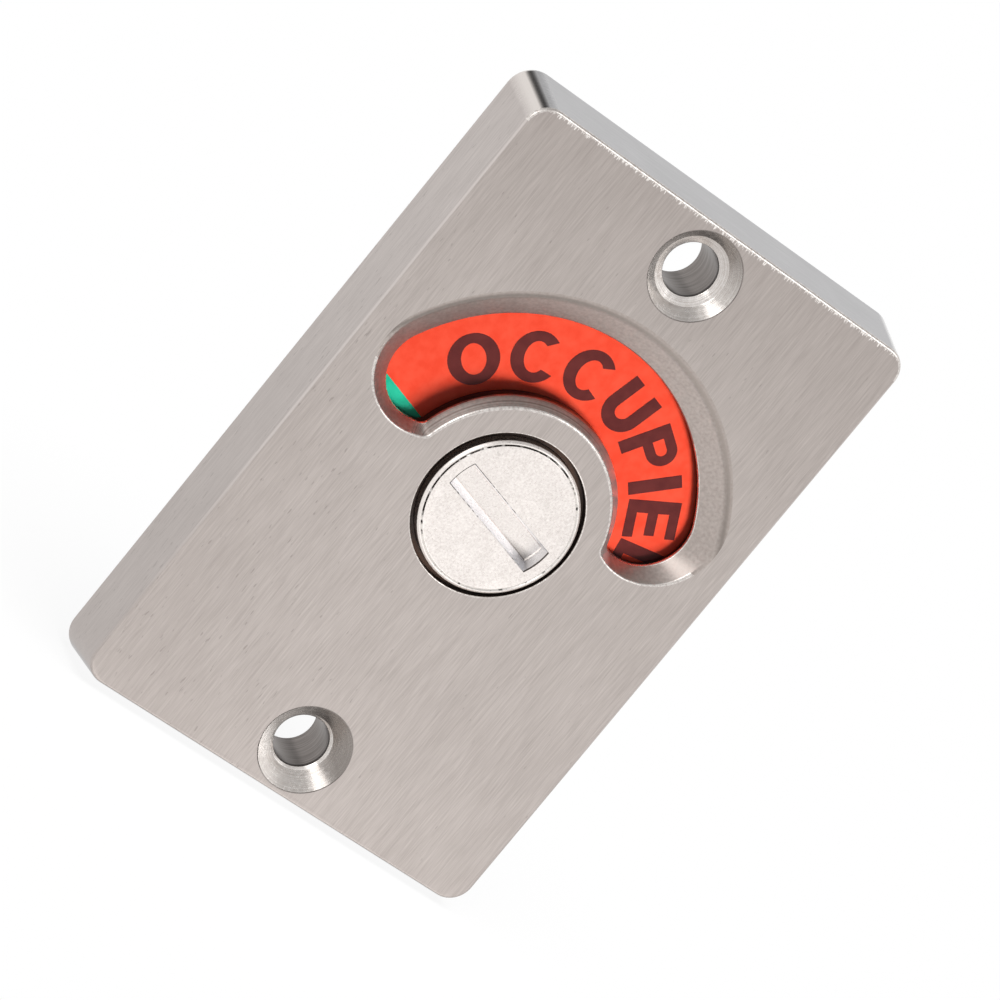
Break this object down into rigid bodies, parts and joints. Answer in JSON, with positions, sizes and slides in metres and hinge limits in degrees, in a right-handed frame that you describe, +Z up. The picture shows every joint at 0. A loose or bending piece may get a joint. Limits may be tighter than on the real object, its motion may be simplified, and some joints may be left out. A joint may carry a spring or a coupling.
{
  "type": "toilet indicator plate",
  "caption": "Rectangular steel door plate with a coin-slot turn and an arched window that shows a red or green sign as the turn goes round.",
  "frame": {"origin": "on the turn's axis in the plane of the door, midway between the fixing holes", "axes": "+Z up along the plate's long side, +Y into the door, so the front faces -Y"},
  "size_m": [0.047, 0.0084, 0.07],
  "materials": {
    "stainless": "satin, brushed along its length",
    "nickel": "fine cast grain under bright nickel",
    "aluminium": "mill",
    "red_label": "matte printed film",
    "green_label": "matte printed film",
    "black_plastic": "moulded",
    "white_plastic": "moulded",
    "zinc_steel": "zinc plated",
    "spring_steel": "oiled spring steel"
  },
  "bodies": {
    "housing": {"face_plate": "stainless", "bearing_bush": "black_plastic", "back_cover": "zinc_steel", "rear_bush": "black_plastic", "thrust_washer": "white_plastic", "wave_washer": "spring_steel", "stop_pin": "spring_steel", "cover_screw_1": "zinc_steel", "cover_screw_2": "zinc_steel", "cover_screw_3": "zinc_steel", "cover_screw_4": "zinc_steel"},
    "turn": {"coin_turn": "nickel", "indicator_disc": "aluminium", "engaged_label": "red_label", "vacant_label": "green_label", "stop_cam": "zinc_steel", "retaining_clip": "spring_steel"}
  },
  "joints": [
    {"name": "sign_turn", "type": "hinge", "parent": "housing", "child": "turn", "pos_m": [0, 0, 0], "axis": [0, -1, 0], "range_deg": [-164, 16]}
  ]
}
